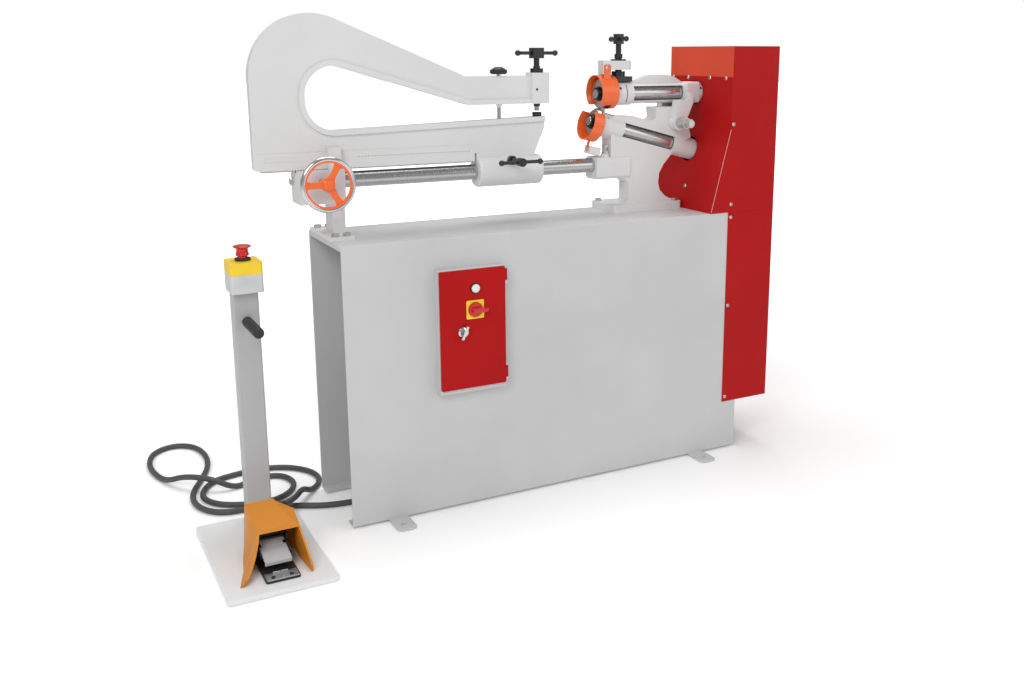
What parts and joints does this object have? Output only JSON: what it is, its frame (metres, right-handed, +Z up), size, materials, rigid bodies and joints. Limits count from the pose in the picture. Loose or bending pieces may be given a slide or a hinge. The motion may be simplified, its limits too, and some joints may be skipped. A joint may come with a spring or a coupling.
{
  "type": "circular shear",
  "caption": "Motor driven circular shear: inclined rotary cutters, a clamping carriage on a guide bar, a cover over the drive, a floor cabinet and a pedal stand on a cable.",
  "frame": {"origin": "on the floor, at the centre of the anchor holes", "axes": "+X along the guide bar towards the cover, +Y to the back, +Z up"},
  "size_m": [1.6696, 1.0058, 1.2361],
  "materials": {
    "cabinet_paint": "satin light grey sheet",
    "casting_paint": "satin light grey cast iron",
    "cover_red": "satin red sheet",
    "guard_orange": "gloss orange sheet",
    "hood_orange": "satin orange yellow sheet",
    "stand_paint": "satin mid grey tube",
    "plate_white": "satin off white plate",
    "bright_steel": "ground and turned",
    "zinc_steel": "zinc plated",
    "dark_steel": "oil blackened",
    "bronze": "turned bearing bronze",
    "aluminium": "brushed plate",
    "motor_paint": "matt dark grey",
    "grey_plastic": "satin",
    "black_plastic": "matt",
    "yellow_plastic": "satin",
    "red_plastic": "gloss",
    "lamp_lens": "clear ribbed",
    "cable_jacket": "matt",
    "belt_rubber": "matt"
  },
  "bodies": {
    "machine": {"cabinet_shell": "cabinet_paint", "control_box": "cabinet_paint", "support_post": "casting_paint", "frame_bolts": "zinc_steel", "guide_bar": "bright_steel", "head_frame": "casting_paint", "screw_bracket": "casting_paint", "pivot_bolt": "zinc_steel", "lower_bushes": "bronze", "upper_guard": "guard_orange", "lower_guard": "guard_orange", "head_screw_nut": "dark_steel", "drive_belt": "belt_rubber", "drive_motor": "motor_paint", "cover_cap": "cover_red", "cover_upper": "cover_red", "cover_lower": "cover_red", "panel_screws": "zinc_steel", "stand_base": "plate_white", "stand_post": "stand_paint", "stand_grip": "black_plastic", "stop_box": "grey_plastic", "stop_lid": "yellow_plastic", "pedal_hood": "hood_orange", "pedal_base": "black_plastic", "cable_glands": "black_plastic", "pedal_cable": "cable_jacket"},
    "door": {"control_door": "cover_red", "pilot_lamp": "lamp_lens"},
    "switch_knob": {"switch_knob": "red_plastic"},
    "door_lock": {"door_lock": "zinc_steel"},
    "carriage": {"c_frame": "casting_paint", "rack": "bright_steel", "clamp_nut": "dark_steel", "anvil": "dark_steel"},
    "handwheel": {"pinion_shaft": "bright_steel", "handwheel": "guard_orange"},
    "clamp_pad": {"clamp_pad": "bright_steel"},
    "clamp_screw": {"clamp_screw": "dark_steel"},
    "clamp_bar": {"clamp_bar": "dark_steel"},
    "strut": {"strut_screw": "bright_steel"},
    "strut_knob": {"strut_knob": "black_plastic"},
    "hub_lock": {"hub_lock": "dark_steel"},
    "shoe": {"screw_shoe": "dark_steel"},
    "head_screw": {"head_screw": "dark_steel"},
    "head_bar": {"head_screw_bar": "dark_steel"},
    "arm": {"upper_arm": "casting_paint", "upper_bushes": "bronze"},
    "upper_spindle": {"upper_spindle": "bright_steel", "upper_cutter": "bright_steel", "upper_cutter_nut": "dark_steel", "upper_gear": "dark_steel", "drive_pulley": "aluminium"},
    "lower_spindle": {"lower_spindle": "bright_steel", "lower_cutter": "bright_steel", "lower_cutter_nut": "dark_steel", "lower_gear": "dark_steel"},
    "motor_pulley": {"motor_pulley": "aluminium"},
    "stop_button": {"stop_button": "red_plastic"},
    "treadle": {"treadle": "aluminium"}
  },
  "joints": [
    {"name": "door_hinge", "type": "hinge", "parent": "machine", "child": "door", "pos_m": [-0.162, -0.1633, 0.46], "axis": [0, 0, 1], "range_deg": [0, 110]},
    {"name": "switch_turn", "type": "hinge", "parent": "door", "child": "switch_knob", "pos_m": [-0.249, -0.17, 0.526], "axis": [0, 1, 0], "range_deg": [0, 90]},
    {"name": "lock_turn", "type": "hinge", "parent": "door", "child": "door_lock", "pos_m": [-0.281, -0.17, 0.471], "axis": [0, 1, 0], "range_deg": [0, 90]},
    {"name": "carriage_slide", "type": "slide", "parent": "machine", "child": "carriage", "axis": [1, 0, 0], "range_m": [-0.34, 0.11]},
    {"name": "handwheel_turn", "type": "hinge", "parent": "machine", "child": "handwheel", "pos_m": [-0.5695, 0.032, 0.841], "axis": [0, 1, 0], "range_deg": [-700, 230]},
    {"name": "clamp_feed", "type": "slide", "parent": "carriage", "child": "clamp_pad", "axis": [0, 0, 1], "range_m": [-0.00316, 0.0299]},
    {"name": "clamp_turn", "type": "hinge", "parent": "clamp_pad", "child": "clamp_screw", "pos_m": [0.027, 0.032, 1.06], "axis": [0, 0, 1], "range_deg": [-380, 3600]},
    {"name": "clamp_bar_slide", "type": "slide", "parent": "clamp_screw", "child": "clamp_bar", "axis": [1, 0, 0], "range_m": [-0.03, 0.03]},
    {"name": "strut_feed", "type": "slide", "parent": "carriage", "child": "strut", "axis": [0, 0, 1], "range_m": [0, 0.0199]},
    {"name": "strut_turn", "type": "hinge", "parent": "strut", "child": "strut_knob", "pos_m": [-0.084, 0.032, 1.1], "axis": [0, 0, 1], "range_deg": [0, 3600]},
    {"name": "hub_lock_turn", "type": "hinge", "parent": "carriage", "child": "hub_lock", "pos_m": [-0.07, -0.03, 0.871], "axis": [0, 1, 0], "range_deg": [0, 180]},
    {"name": "head_feed", "type": "slide", "parent": "machine", "child": "shoe", "axis": [0, 0, 1], "range_m": [0, 0.0037]},
    {"name": "head_turn", "type": "hinge", "parent": "shoe", "child": "head_screw", "pos_m": [0.28, 0.032, 1.12], "axis": [0, 0, 1], "range_deg": [0, 656]},
    {"name": "head_bar_slide", "type": "slide", "parent": "head_screw", "child": "head_bar", "axis": [0.1736, 0.9848, 0], "range_m": [-0.03, 0.03]},
    {"name": "arm_tilt", "type": "hinge", "parent": "machine", "child": "arm", "pos_m": [0.454, 0.032, 0.952], "axis": [0, 1, 0], "range_deg": [0, 1.09]},
    {"name": "upper_spin", "type": "hinge", "parent": "arm", "child": "upper_spindle", "pos_m": [0.4, 0.032, 1.035], "axis": [1, 0, 0], "continuous": true},
    {"name": "lower_spin", "type": "hinge", "parent": "machine", "child": "lower_spindle", "pos_m": [0.20835, 0.032, 0.95736], "axis": [0.9659, 0, -0.2588], "continuous": true},
    {"name": "motor_spin", "type": "hinge", "parent": "machine", "child": "motor_pulley", "pos_m": [0.66, 0.032, 0.306], "axis": [1, 0, 0], "continuous": true},
    {"name": "stop_press", "type": "slide", "parent": "machine", "child": "stop_button", "axis": [0, 0, -1], "range_m": [0, 0.005], "stiffness_N_per_m": 400, "springref_m": -0.004},
    {"name": "treadle_press", "type": "hinge", "parent": "machine", "child": "treadle", "pos_m": [-0.788, -0.205, 0.06], "axis": [1, 0, 0], "range_deg": [0, 8], "stiffness_Nm_per_rad": 6, "springref_deg": -8.59}
  ],
  "couplings": [
    {"joint": "handwheel_turn", "follows": "carriage_slide", "rad_per_m": 35.714},
    {"joint": "clamp_turn", "follows": "clamp_feed", "rad_per_m": 2094.4},
    {"joint": "strut_turn", "follows": "strut_feed", "rad_per_m": 3141.6},
    {"joint": "head_turn", "follows": "arm_tilt", "ratio": 596.34},
    {"joint": "head_feed", "follows": "arm_tilt", "m_per_rad": 0.18982},
    {"joint": "lower_spin", "follows": "upper_spin", "ratio": -1},
    {"joint": "motor_spin", "follows": "upper_spin", "ratio": 2.2222}
  ]
}
